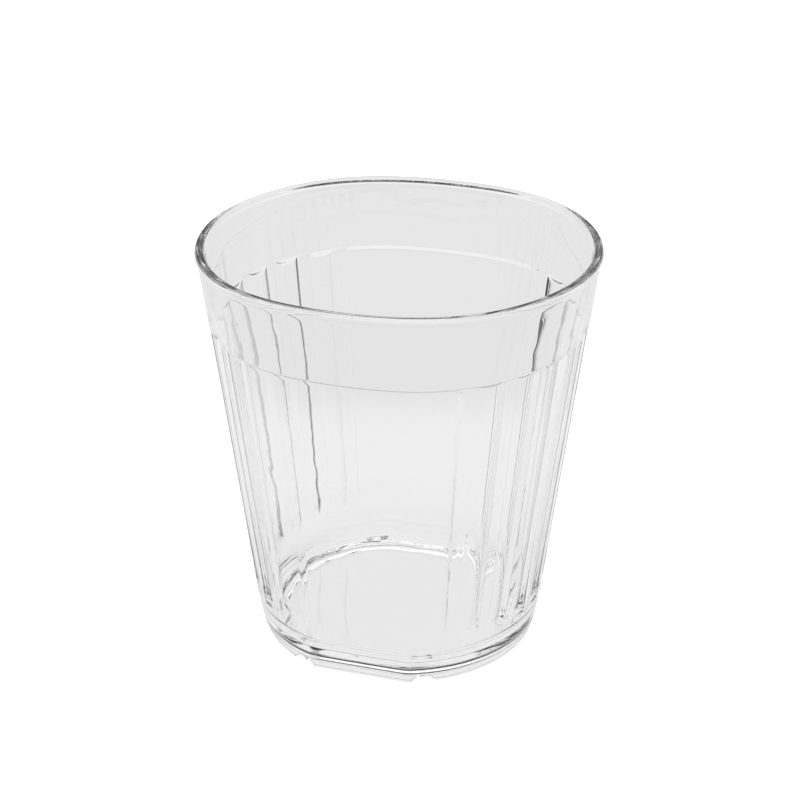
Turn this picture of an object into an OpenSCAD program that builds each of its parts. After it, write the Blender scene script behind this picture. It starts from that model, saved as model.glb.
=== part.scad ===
// Stacking tumbler moulded in one piece from clear plastic.
// Its two sides are fluted and round, and its front and back are smooth and slightly flattened.
// A plain band with a beaded lip closes the top, and a notched foot ring carries the floor.
// The origin is at the centre of the foot, +Z is up, and the smooth panels face +Y and -Y.

/* [Cup] */
// Height of the cup from the table to the top of the lip
height = 88; // [70:0.5:120]
// Radius over the lip at the fluted sides
mouth_r = 42; // [36:0.25:50]
// Radius that the straight wall would reach at the foot, at the fluted sides
corner_r = 30.6; // [26:0.1:34]
// How far the wall curves in from that line at its lower corner
tuck = 0.35; // [0.1:0.05:0.8]
// Height above the foot over which the wall curves in
tuck_h = 12; // [8:0.5:20]
// Thickness of the wall behind the lands and the band
wall = 1.85; // [1.4:0.05:2.6]
// Thickness of the floor
floor_t = 2.3; // [1.4:0.1:4]
// Radius of the rounding between the floor and the inside of the wall
floor_fillet = 4; // [1:0.25:7]

/* [Flattened panels] */
// How far the middle of a smooth panel lies inside the round at the mouth
mouth_flat = 2; // [0.5:0.1:3.5]
// How far the middle of a smooth panel lies inside the round at the lower corner
corner_flat = 1.9; // [0.5:0.1:3]
// Half of the angle over which a panel eases into the round at the mouth
panel_ease = 45; // [35:1:50]
// Depth of the smooth panels below the band
panel_recess = 0.45; // [0.2:0.05:0.8]

/* [Band and lip] */
// Height of the plain band, with the lip
band_h = 15.7; // [8:0.1:30]
// Height that the slope under the band takes for each millimetre of the depth that it closes
ledge_lean = 1.7; // [1:0.1:3]
// How far the bead stands out of the band
bead_out = 0.35; // [0.2:0.05:0.8]
// Height over which the bead swells out of the band
bead_ease = 0.7; // [0.2:0.1:2]

/* [Flutes] */
// Number of flutes on each side
flute_count = 8; // [4:1:9]
// Angle that one flute takes, seen from above
flute_angle = 8.25; // [5:0.05:9]
// Angle of the land between two flutes, seen from above
land_angle = 4.8; // [3:0.1:5.5]
// Depth of a flute in its middle, which is scooped as half an ellipse
flute_depth = 0.7; // [0.3:0.05:1]
// How far the lands lie inside the face of the band
land_back = 0.1; // [0.05:0.05:0.2]
// Height above the table at which the flutes begin
flute_z = 9; // [6:0.25:14]
// Height over which the flutes reach their full depth
flute_run = 6; // [2:0.25:8]

/* [Foot] */
// Height of the foot ring
foot_h = 1.8; // [1:0.1:3]
// How far the foot ring lies inside the rounding of the lower corner
foot_gap = 0.1; // [0.05:0.05:1]
// Width of the foot ring
foot_w = 1.8; // [1:0.1:3]
// Radius of the rounding of the lower corner
corner_fillet = 0.5; // [0.3:0.05:1.8]
// Angle from the middle of a panel to the notches beside it
notch_at = 27.5; // [24:0.5:40]
// Width of a notch along the foot ring
notch_w = 4.8; // [3:0.1:6]
// Height of the plastic left over the arch of a notch, in the foot ring
notch_roof = 0.35; // [0.1:0.05:0.8]

/* [Facets] */
// Straight steps across one flute
flute_steps = 6; // [4:2:6]
// Straight steps up the stretch where the flutes reach their depth
run_steps = 3; // [2:1:4]
// Straight steps across one smooth panel
panel_steps = 32; // [16:2:32]
// Straight steps over the bead, from its widest line to the inside
bead_steps = 6; // [4:2:8]
// Straight steps round each rounded corner
fillet_steps = 3; // [2:1:4]

/* [Hidden] */

band_z = height - band_h;
floor_z = foot_h + floor_t;
bead_r = (wall + bead_out) / 2;
// Angle on the round of the bead, from its widest line, at which the band meets it
bead_from = -40;
bead_z = height - bead_r * (1 - sin(bead_from)) - bead_ease;
foot_in = land_back + corner_fillet + foot_gap;
line_r = mouth_r - bead_out;
pitch = flute_angle + land_angle;
side_half = (flute_count * pitch + land_angle) / 2;
panel_half = 90 - side_half;
notch_h = foot_h - notch_roof;
notch_half = notch_w / 2 / (corner_r - tuck - foot_in) * 180 / PI;
// Angle within which two directions count as the same
hair = 0.001;

// Directions round the cup, counterclockwise from +X: each side's lands and flutes, then the panel after it.
side_dirs = [for (i = [0:flute_count]) each concat(
    [i * pitch - side_half, i * pitch - side_half + land_angle / 2],
    [for (j = [0:flute_steps - 1])
        if (i < flute_count)
            i * pitch - side_half + land_angle + flute_angle * (1 - cos(180 * j / flute_steps)) / 2])];
panel_dirs = [for (i = [0:panel_steps - 1]) side_half + 2 * panel_half * i / panel_steps];
half_dirs = concat(side_dirs, panel_dirs);
dirs = concat(half_dirs, [for (a = half_dirs) a + 180]);

// Angle of a direction from the middle of the nearest panel, and from the middle of the nearest side.
function from_panel(a) = 90 - from_side(a);
function from_side(a) = abs(a - 180 * round(a / 180));

// The foot's outline is a circle with two straight sides, and the mouth's is a softly flattened circle.
function chorded(a, inset) =
    let (r = corner_r - inset, flat_r = r - corner_flat, c = cos(from_panel(a)))
    r * c > flat_r ? flat_r / c : r;
function eased(a, inset) =
    line_r - inset - mouth_flat * pow(cos(90 * min(from_panel(a) / panel_ease, 1)), 2);

// Radius of the plain outside in a direction at a height, moved inwards. Above the curve at its lower corner
// it is straight up to the widest line of the bead.
function plain(a, z, inset = 0) =
    let (up = max(z - foot_h, 0), t = min(up / (height - bead_r - foot_h), 1))
    (1 - t) * chorded(a, inset) + t * eased(a, inset) - tuck * pow(max(1 - up / tuck_h, 0), 2);

// Depth of the body below the band in a direction: smooth panels, lands and scooped flutes.
function body_depth(a) =
    let (beside = side_half - land_angle - from_side(a), lane = beside - pitch * floor(beside / pitch))
    from_side(a) > side_half + hair ? panel_recess
    : beside < 0 ? land_back
    : land_back + flute_depth * sqrt(max(1 - pow(2 * lane / flute_angle - 1, 2), 0));

// Share of the full depth that the flutes have reached at a height.
function run_out(z) = (1 - cos(180 * min(max((z - flute_z) / flute_run, 0), 1))) / 2;

// Height of the foot ring's under side in a direction, with the four arched notches.
function notch(a) =
    let (u = (from_panel(a) - notch_at) / notch_half) abs(u) < 1 ? notch_h * sqrt(1 - u * u) : 0;

// Rings of the moulding from the under side outwards, up the outside, over the lip and down the inside.
function ring(z, inset) = [for (a = dirs) [plain(a, z, inset), a, z]];
function body_ring(z) =
    [for (a = dirs) [plain(a, z, land_back + (body_depth(a) - land_back) * run_out(z)), a, z]];
function foot_ring(inset) = [for (a = dirs) [plain(a, 0, inset), a, notch(a)]];
ledge_ring = [for (a = dirs)
    let (z = band_z - ledge_lean * body_depth(a))
    [plain(a, z, body_depth(a)), a, z]];

foot_rings = [
    ring(foot_h, foot_in + foot_w),
    foot_ring(foot_in + foot_w),
    foot_ring(foot_in),
    ring(foot_h, foot_in)];
corner_rings = [for (i = [0:fillet_steps])
    let (b = 90 * i / fillet_steps)
    ring(foot_h + corner_fillet * (1 - cos(b)), land_back + corner_fillet * (1 - sin(b)))];
body_rings = [for (i = [0:run_steps]) body_ring(flute_z + flute_run * i / run_steps)];
band_rings = [ledge_ring, ring(band_z, 0), ring(bead_z, 0)];
bead_rings = [for (b = concat([bead_from], [for (i = [0:bead_steps]) 180 * i / bead_steps]))
    ring(height - bead_r + bead_r * sin(b), bead_r - bead_out - bead_r * cos(b))];
inner_rings = [for (i = [0:fillet_steps])
    let (b = 90 * i / fillet_steps)
    ring(floor_z + floor_fillet * (1 - sin(b)), wall + floor_fillet * (1 - cos(b)))];
rings = concat(foot_rings, corner_rings, body_rings, band_rings, bead_rings, inner_rings);

// One closed skin over all the rings, with a point in the middle of the under side and of the floor.
module skin(rings) {
    count = len(rings[0]);
    points = concat(
        [for (r = rings) each [for (p = r) [p[0] * cos(p[1]), p[0] * sin(p[1]), p[2]]]],
        [[0, 0, foot_h], [0, 0, floor_z]]);
    under = len(rings) * count;
    last = under - count;
    sides = [for (i = [0:len(rings) - 2], j = [0:count - 1])
        let (k = (j + 1) % count, a = i * count, b = a + count)
        each [[a + j, b + k, a + k], [a + j, b + j, b + k]]];
    caps = [for (j = [0:count - 1])
        let (k = (j + 1) % count)
        each [[under, j, k], [under + 1, last + k, last + j]]];
    polyhedron(points, concat(sides, caps));
}

module tumbler() {
    color([0.93, 0.95, 0.96, 0.45])
        skin(rings);
}

tumbler();
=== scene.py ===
"""A clear plastic tumbler with fluted sides and smooth flattened panels, standing on a white table."""
import math

import bpy
import numpy as np
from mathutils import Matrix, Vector


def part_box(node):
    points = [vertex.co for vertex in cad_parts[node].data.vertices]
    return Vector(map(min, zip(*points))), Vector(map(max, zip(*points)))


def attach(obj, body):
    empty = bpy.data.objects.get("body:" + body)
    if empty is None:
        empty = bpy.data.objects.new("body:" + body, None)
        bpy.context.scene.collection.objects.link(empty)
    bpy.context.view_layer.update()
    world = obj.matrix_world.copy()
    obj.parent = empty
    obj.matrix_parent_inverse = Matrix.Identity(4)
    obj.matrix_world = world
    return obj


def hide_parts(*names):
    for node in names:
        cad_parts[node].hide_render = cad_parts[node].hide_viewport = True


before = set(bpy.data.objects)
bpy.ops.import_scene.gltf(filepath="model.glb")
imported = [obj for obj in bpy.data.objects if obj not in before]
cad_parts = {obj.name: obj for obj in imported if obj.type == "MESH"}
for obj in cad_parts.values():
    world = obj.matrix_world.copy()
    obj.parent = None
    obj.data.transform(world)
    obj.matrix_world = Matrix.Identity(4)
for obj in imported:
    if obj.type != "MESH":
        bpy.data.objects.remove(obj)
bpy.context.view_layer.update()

# The cup is one moulding of clear colourless rigid plastic, about 2 mm thick and polished by its mould.
# Its outside runs straight from the lower corner to the lip: round at the fluted sides, flattened at the panels.
MM = 0.001
low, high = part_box("tumbler")
height = high.z
mouth_r = high.x
mouth_flat = high.x - high.y
corner_r = 30.6 * MM
tuck = 0.35 * MM
tuck_h = 12 * MM
corner_flat = 1.9 * MM
panel_ease = 45
wall = 1.85 * MM
floor_t = 2.3 * MM
floor_fillet = 4 * MM

# The plain band ends in a beaded lip, and a small slope under it closes the flutes and the panels.
# The lip is rounded inside and outside, and its outer face widens downwards to a narrow step over a soft swell.
band_h = 15.7 * MM
ledge_lean = 1.7
bead_out = 0.35 * MM
lip_h = 1.29 * MM
lip_lean = 0.22
lip_outside_r = 0.66 * MM
lip_inside_r = 1.04 * MM
step_h = 0.15 * MM
swell_h = 1.3 * MM
swell_out = 0.12 * MM
widest_z = height - (wall + bead_out) / 2
band_z = height - band_h

# Scooped flutes and plain lands take turns on both sides, and the smooth panels lie a little below the band.
flute_count = 8
flute_angle = 8.25
land_angle = 4.8
flute_depth = 0.7 * MM
flute_edge = 0.08
outer_edge = 0.3
land_back = 0.1 * MM
panel_recess = 0.45 * MM
panel_edge = 1.2
flute_z = 9 * MM
flute_run = 6 * MM
pitch = flute_angle + land_angle
side_half = (flute_count * pitch + land_angle) / 2
panel_half = 90 - side_half

# The foot ring stands in from the rounded lower corner, and four arched notches let water out from under it.
foot_h = 1.8 * MM
foot_w = 1.8 * MM
foot_gap = 0.1 * MM
foot_edge_r = 0.2 * MM
corner_fillet = 0.5 * MM
foot_in = land_back + corner_fillet + foot_gap
notch_at = 27.5
notch_w = 4.8 * MM
notch_roof = 0.35 * MM
notch_half = math.degrees(notch_w / 2 / (corner_r - tuck - foot_in))
notch_h = foot_h - notch_roof
floor_z = foot_h + floor_t


def from_side(turn):
    """Angle in degrees between a direction and the middle of the nearest fluted side."""
    return np.abs(turn - 180 * np.round(turn / 180))


def from_panel(turn):
    """Angle in degrees between a direction and the middle of the nearest smooth panel."""
    return 90 - from_side(turn)


def plain(turn, z, inset):
    """Radius of the plain outside, moved in by inset: a circle with two straight sides at the lower corner,
    a circle flattened by a squared cosine at the lip, and a straight line up the wall between the two, which
    curves in at its lower corner by a parabola."""
    up = np.maximum(z - foot_h, 0)
    share = np.minimum(up / (widest_z - foot_h), 1)
    r = corner_r - inset
    across = np.cos(np.radians(from_panel(turn)))
    chorded = np.where(r * across > r - corner_flat, (r - corner_flat) / np.maximum(across, 0.5), r)
    ease = np.minimum(from_panel(turn) / panel_ease, 1)
    eased = mouth_r - bead_out - inset - mouth_flat * np.cos(np.radians(90 * ease)) ** 2
    return (1 - share) * chorded + share * eased - tuck * np.maximum(1 - up / tuck_h, 0) ** 2


def relief(turn):
    """Depth below the lands: half an ellipse across each flute, whose square is eased at the edges by the root
    of a sum of squares, more softly at the edges beside a panel, and an even depth over the smooth panels."""
    lane = (side_half - land_angle / 2 - from_side(turn)) % pitch - pitch / 2
    square = 1 - (2 * lane / flute_angle) ** 2
    outermost = (from_side(turn) > side_half - land_angle - flute_angle / 2) & (lane < 0)
    eased = np.where(outermost, outer_edge, flute_edge)
    scoop = flute_depth * np.sqrt((square + np.sqrt(square**2 + eased**2)) / 2)
    past = np.clip((panel_half - from_panel(turn)) / panel_edge, 0, 1)
    panel = (panel_recess - land_back) * past**2 * (3 - 2 * past)
    return np.where(from_side(turn) > side_half - land_angle / 2, panel, scoop)


def gathered(reach, count, power=1.7):
    """Offsets from an edge out to reach, spaced by a power so that they gather at the edge."""
    return reach * (np.arange(1, count + 1) / count) ** power


def directions():
    """Directions in degrees round the cup: close together at the flutes' edges and even across the panels."""
    edge = np.concatenate([[0], -gathered(flute_angle / 2, 10, 2)[:-1], gathered(land_angle / 2, 6, 2)[:-1]])
    half_lane = np.concatenate([edge + flute_angle / 2, [0, pitch / 2]])
    lane = np.unique(np.round(np.concatenate([half_lane, -half_lane]), 6))[:-1]
    starts = (np.arange(flute_count) - (flute_count - 1) / 2) * pitch
    side = (starts[:, None] + lane[None, :]).ravel()
    last_land = flute_count * pitch / 2 + np.linspace(0, land_angle / 2, 5)[:-1]
    panel = np.concatenate([panel_half * np.linspace(-1, 1, 49)[:-1],
                            -panel_half + panel_edge * np.linspace(0, 1, 7)[1:-1],
                            panel_half - panel_edge * np.linspace(0, 1, 7)[1:-1]])
    half = np.concatenate([side, last_land, 90 + panel, -last_land[1:]])
    half = np.unique(np.round(half, 6))
    return np.concatenate([half, half + 180])


turn = directions()
profile = []


def go(z, inset, share=1.0, body=0.0, foot=0.0, drop=0.0):
    """Adds rings to the profile: height, inset from the plain outside, share of the radius, share of the relief
    of the body, share of the notches of the foot, and share of the slope under the band that a ring has gone down."""
    columns = np.broadcast_arrays(*np.atleast_1d(z, inset, share, body, foot, drop))
    profile.append(np.stack(columns, 1).astype(float))


def smooth(t):
    """The smooth step of a share from 0 to 1: three squares less two cubes."""
    return t * t * (3 - 2 * t)


def straight(start, end, count):
    """Heights spaced evenly from start to end without the two, and one more close to each end, so that the shading
    of the curves beside doesn't spread over a straight wall."""
    near = math.copysign(0.1 * MM, end - start)
    return np.concatenate([[start + near], np.linspace(start, end, count)[1:-1], [end - near]])


# The under side runs out to the foot ring, whose edges are slightly rounded.
spread = np.linspace(0, 1, 6)[1:]
foot_inside = foot_in + foot_w
go(foot_h, foot_inside, share=spread)
quarter = np.radians(np.linspace(0, 90, 5))
go(foot_h * np.linspace(0.8, 0.2, 4), foot_inside, foot=1)
go(foot_edge_r * (1 - np.sin(quarter)), foot_inside - foot_edge_r * (1 - np.cos(quarter)), foot=1)
go(0, foot_in + foot_w / 2, foot=1)
go(foot_edge_r * (1 - np.cos(quarter)), foot_in + foot_edge_r * (1 - np.sin(quarter)), foot=1)
go(foot_h * np.linspace(0.2, 0.8, 4), foot_in, foot=1)
go(foot_h, foot_in)

# The lower corner is rounded, the flutes and panels gain their depth, and the body climbs to the slope under the band.
turned = np.radians(np.linspace(0, 90, 9))
go(foot_h + corner_fillet * (1 - np.cos(turned)), land_back + corner_fillet * (1 - np.sin(turned)))
go(straight(foot_h + corner_fillet, flute_z, 5), land_back)
running = np.linspace(0, 1, 17)
go(flute_z + flute_run * running, land_back, body=(1 - np.cos(np.pi * running)) / 2)
slope_room = 1.1
deepest = land_back + flute_depth * slope_room
go(straight(flute_z + flute_run, band_z - ledge_lean * deepest, 9), land_back, body=1)
opening = np.linspace(1, 0, 13)
go(band_z, land_back * smooth(opening), body=smooth(opening), drop=opening)

# The band swells softly up to a narrow step, and above it the lip leans in and rolls over into the inside wall.
step_z = height - lip_h - step_h
go(straight(band_z, step_z - swell_h, 4), 0)
rising = np.linspace(0, 1, 9)
go(step_z - swell_h * (1 - rising), -swell_out * rising**2.5)
go(step_z + step_h * rising[1:], -swell_out - (bead_out - swell_out) * smooth(rising[1:]))
lean_back = lip_lean * (lip_h - lip_outside_r)
outer = np.radians(np.linspace(0, 90, 9))
go(height - lip_outside_r * (1 - np.sin(outer)), lean_back - bead_out + lip_outside_r * (1 - np.cos(outer)))
inner = np.radians(np.linspace(0, 90, 13))
go(height - lip_inside_r * (1 - np.cos(inner)), wall - lip_inside_r * (1 - np.sin(inner)))

# The inside wall is plain, and a fillet leads it into the floor.
go(straight(height - lip_inside_r, floor_z + floor_fillet, 9), wall)
turned = np.radians(np.linspace(0, 90, 15))
go(floor_z + floor_fillet * (1 - np.sin(turned)), wall + floor_fillet * (1 - np.cos(turned)))
go(floor_z, wall + floor_fillet, share=1 - spread[:-1])

ring_z, ring_inset, ring_share, ring_body, ring_foot, ring_drop = np.concatenate(profile).T[:, :, None]
ring_z = ring_z - ring_drop * ledge_lean * (land_back + relief(turn))
from_notch = np.abs(from_panel(turn) - notch_at) / notch_half
notch = notch_h * np.sqrt(np.clip(1 - from_notch**2, 0, None))
radius = plain(turn, ring_z, ring_inset + relief(turn) * ring_body) * ring_share
rise = ring_z + ring_foot * notch * (1 - ring_z / foot_h)
rings = np.stack([radius * np.cos(np.radians(turn)), radius * np.sin(np.radians(turn)), rise], 2)


def closed_skin(name, rings, first, last):
    """A mesh over rings of points, each joined to the next by quads, with a fan of triangles from each pole."""
    rows, count = rings.shape[:2]
    points = np.concatenate([rings.reshape(-1, 3), [first, last]])
    here = np.arange(count)
    after = (here + 1) % count
    base = np.arange(rows - 1)[:, None] * count
    quads = np.stack([base + here, base + after, base + count + after, base + count + here], 2).reshape(-1, 4)
    top = (rows - 1) * count
    ends = np.concatenate([np.stack([after, here, np.full(count, rows * count)], 1),
                           np.stack([top + here, top + after, np.full(count, rows * count + 1)], 1)])
    mesh = bpy.data.meshes.new(name)
    mesh.from_pydata(points.tolist(), [], quads.tolist() + ends.tolist())
    mesh.update()
    return mesh


plastic_color = (0.965, 0.965, 0.965, 1)
plastic_index = 1.57
shadow_pass = (0.9, 0.9, 0.9, 1)
wave_scale = 140
wave_strength = 0.05
most_rough = 0.02


def clear_plastic():
    """Clear plastic with a polished skin that waves very slightly, as the melt froze against the mould. Light for
    the shadow on the table passes through it, a little dimmed."""
    material = bpy.data.materials.new("clear_plastic")
    material.use_nodes = True
    nodes, links = material.node_tree.nodes, material.node_tree.links
    shader = nodes["Principled BSDF"]
    shader.inputs["Base Color"].default_value = plastic_color
    shader.inputs["Transmission Weight"].default_value = 1
    shader.inputs["IOR"].default_value = plastic_index
    place = nodes.new("ShaderNodeTexCoord")
    wave = nodes.new("ShaderNodeTexNoise")
    wave.inputs["Scale"].default_value = wave_scale
    wave.inputs["Detail"].default_value = 1
    bump = nodes.new("ShaderNodeBump")
    bump.inputs["Strength"].default_value = wave_strength
    bump.inputs["Distance"].default_value = MM
    rough = nodes.new("ShaderNodeMapRange")
    rough.inputs["To Min"].default_value = 0.0
    rough.inputs["To Max"].default_value = most_rough
    links.new(place.outputs["Object"], wave.inputs["Vector"])
    links.new(wave.outputs["Fac"], bump.inputs["Height"])
    links.new(wave.outputs["Fac"], rough.inputs["Value"])
    links.new(rough.outputs["Result"], shader.inputs["Roughness"])
    links.new(bump.outputs["Normal"], shader.inputs["Normal"])
    see_through = nodes.new("ShaderNodeBsdfTransparent")
    see_through.inputs["Color"].default_value = shadow_pass
    path = nodes.new("ShaderNodeLightPath")
    mix = nodes.new("ShaderNodeMixShader")
    links.new(path.outputs["Is Shadow Ray"], mix.inputs["Fac"])
    links.new(shader.outputs["BSDF"], mix.inputs[1])
    links.new(see_through.outputs["BSDF"], mix.inputs[2])
    links.new(mix.outputs["Shader"], nodes["Material Output"].inputs["Surface"])
    return material


skin = closed_skin("cup", rings, (0, 0, foot_h), (0, 0, floor_z))
skin.shade_smooth()
skin.materials.append(clear_plastic())
cup = bpy.data.objects.new("cup", skin)
bpy.context.scene.collection.objects.link(cup)
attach(cup, "root")
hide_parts("tumbler")

# The table is a plain white sheet that runs out under the cup and keeps its soft shadow.
# Rays that reach it through the cup or by reflection see a painted glow instead of the lit sheet, whose level changes
# with the distance behind the cup: a painted shadow just under it, painted light where light that falls through the
# cup would land, then painted shade, and bright again far out.
floor_half = 6.0
paper_color = (0.8, 0.8, 0.8, 1)
seen_lift = 0.25
away = (-0.2974, 0.9548, 0)
glow_reach = 0.5
# Painted glow levels: painted shadow under the cup, painted light where light through it would land, painted shade
# beyond.
painted_shadow_level = 0.86
painted_light_level = 0.935
painted_shade_level = 0.825
far_level = 0.95
painted_glow_levels = ((0.02, painted_shadow_level), (0.05, painted_light_level), (0.09, painted_light_level),
               (0.12, painted_shade_level), (0.36, painted_shade_level), (0.499, far_level))
floor_mesh = bpy.data.meshes.new("table")
corners = [(-floor_half, -floor_half), (floor_half, -floor_half), (floor_half, floor_half), (-floor_half, floor_half)]
floor_mesh.from_pydata([(x, y, 0) for x, y in corners], [], [(0, 1, 2, 3)])
table = bpy.data.objects.new("table", floor_mesh)
bpy.context.scene.collection.objects.link(table)
paper = bpy.data.materials.new("white_paper")
paper.use_nodes = True
nodes, links = paper.node_tree.nodes, paper.node_tree.links
sheet = nodes["Principled BSDF"]
sheet.inputs["Base Color"].default_value = paper_color
sheet.inputs["Roughness"].default_value = 1
sheet.inputs["Specular IOR Level"].default_value = 0
sheet.inputs["Emission Color"].default_value = (1, 1, 1, 1)
path = nodes.new("ShaderNodeLightPath")
lift = nodes.new("ShaderNodeMath")
lift.operation = "MULTIPLY"
lift.inputs[1].default_value = seen_lift
links.new(path.outputs["Is Camera Ray"], lift.inputs[0])
links.new(lift.outputs[0], sheet.inputs["Emission Strength"])
indirect = nodes.new("ShaderNodeMath")
indirect.operation = "MAXIMUM"
links.new(path.outputs["Is Glossy Ray"], indirect.inputs[0])
links.new(path.outputs["Is Transmission Ray"], indirect.inputs[1])
place = nodes.new("ShaderNodeTexCoord")
far_out = nodes.new("ShaderNodeVectorMath")
far_out.operation = "DOT_PRODUCT"
far_out.inputs[1].default_value = Vector(away) / glow_reach
painted_glow_ramp = nodes.new("ShaderNodeValToRGB")
painted_glow_ramp.color_ramp.interpolation = "EASE"
for distance, level in painted_glow_levels:
    stop = painted_glow_ramp.color_ramp.elements.new(distance / glow_reach)
    stop.color = (level, level, level, 1)
painted_glow_ramp.color_ramp.elements.remove(painted_glow_ramp.color_ramp.elements[0])
painted_glow_ramp.color_ramp.elements.remove(painted_glow_ramp.color_ramp.elements[-1])
links.new(place.outputs["Object"], far_out.inputs[0])
links.new(far_out.outputs["Value"], painted_glow_ramp.inputs["Fac"])
# This emission is painted light and shade on the table, seen through the cup and in its gloss; no lamp lights it.
even = nodes.new("ShaderNodeEmission")
links.new(painted_glow_ramp.outputs["Color"], even.inputs["Strength"])
choice = nodes.new("ShaderNodeMixShader")
links.new(indirect.outputs[0], choice.inputs["Fac"])
links.new(sheet.outputs["BSDF"], choice.inputs[1])
links.new(even.outputs["Emission"], choice.inputs[2])
links.new(choice.outputs["Shader"], nodes["Material Output"].inputs["Surface"])
floor_mesh.materials.append(paper)

# The room is white where it is seen straight, and lights the table evenly.
# Through the cup and in its gloss it is bright, and brightest at the top, but dark low down in front, as past a
# studio's edge, and in a strip behind, as over the top of a backdrop.
toward_front = (0.3156, -0.9489, 0)
room_level = 0.9
dark_level = 0.06
strip_share = 0.7
top_gain = 0.45
world = bpy.data.worlds.new("studio")
bpy.context.scene.world = world
world.use_nodes = True
nodes, links = world.node_tree.nodes, world.node_tree.links


def ramp(source, start, end, from_value, to_value):
    """A smooth change from one value to another as the source runs from start to end."""
    node = nodes.new("ShaderNodeMapRange")
    node.interpolation_type = "SMOOTHSTEP"
    links.new(source, node.inputs["Value"])
    for name, value in (("From Min", start), ("From Max", end), ("To Min", from_value), ("To Max", to_value)):
        node.inputs[name].default_value = value
    return node.outputs["Result"]


def combine(operation, first, second):
    """Two values joined by a math node, where the second may be a plain number."""
    node = nodes.new("ShaderNodeMath")
    node.operation = operation
    links.new(first, node.inputs[0])
    if isinstance(second, float):
        node.inputs[1].default_value = second
    else:
        links.new(second, node.inputs[1])
    return node.outputs[0]


direction = nodes.new("ShaderNodeTexCoord")
axes = nodes.new("ShaderNodeSeparateXYZ")
links.new(direction.outputs["Generated"], axes.inputs["Vector"])
front = nodes.new("ShaderNodeVectorMath")
front.operation = "DOT_PRODUCT"
front.inputs[1].default_value = toward_front
links.new(direction.outputs["Generated"], front.inputs[0])
low_down = ramp(axes.outputs["Z"], 0.3, 0.5, 1, 0)
in_front = ramp(front.outputs["Value"], 0.2, 0.7, 0, 1)
dark_front = combine("MULTIPLY", low_down, in_front)
above_edge = ramp(axes.outputs["Z"], 0.1, 0.16, 0, strip_share)
near_edge = ramp(axes.outputs["Z"], 0.3, 0.42, 1, 0)
behind = ramp(front.outputs["Value"], -0.7, -0.5, 1, 0)
dark_back = combine("MULTIPLY", combine("MULTIPLY", above_edge, near_edge), behind)
dark = combine("MAXIMUM", dark_front, dark_back)
high_up = ramp(axes.outputs["Z"], 0.7, 0.85, 0, top_gain)
room = combine("ADD", ramp(dark, 0, 1, room_level, dark_level), high_up)
path = nodes.new("ShaderNodeLightPath")
plain_white = combine("MAXIMUM", path.outputs["Is Camera Ray"], path.outputs["Is Diffuse Ray"])
strength = combine("MAXIMUM", room, plain_white)
links.new(strength, nodes["Background"].inputs["Strength"])
nodes["Background"].inputs["Color"].default_value = (1, 1, 1, 1)

# One soft lamp hangs overhead on the left, and the cup's gloss doesn't show its disk.
lamp_data = bpy.data.lights.new("overhead", "AREA")
lamp_data.shape = "DISK"
lamp_data.size = 0.9
lamp_data.energy = 9
lamp = bpy.data.objects.new("overhead", lamp_data)
lamp.location = (-0.35, -0.25, 1.1)
lamp.rotation_mode = "QUATERNION"
lamp.rotation_quaternion = lamp.location.to_track_quat("Z", "Y")
bpy.context.scene.collection.objects.link(lamp)
lamp.visible_glossy = False
lamp.visible_transmission = False

# The camera looks down at the cup from in front of a smooth panel, a little to the right.
camera_data = bpy.data.cameras.new("camera")
camera_data.lens = 95.24
camera_data.sensor_width = 36
camera = bpy.data.objects.new("camera", camera_data)
camera.location = (0.1208, -0.3878, 0.2457)
camera.rotation_mode = "QUATERNION"
aim = Vector((0.00017, 0.00005, 0.05195))
camera.rotation_quaternion = (camera.location - aim).to_track_quat("Z", "Y")
bpy.context.scene.collection.objects.link(camera)
bpy.context.scene.camera = camera
bpy.context.scene.view_settings.view_transform = "Standard"

# Light that is caught inside the clear walls goes round in them more often than by default before it is dropped.
bpy.context.scene.cycles.glossy_bounces = 12
bpy.context.scene.cycles.transmission_bounces = 24
bpy.context.scene.cycles.max_bounces = 24
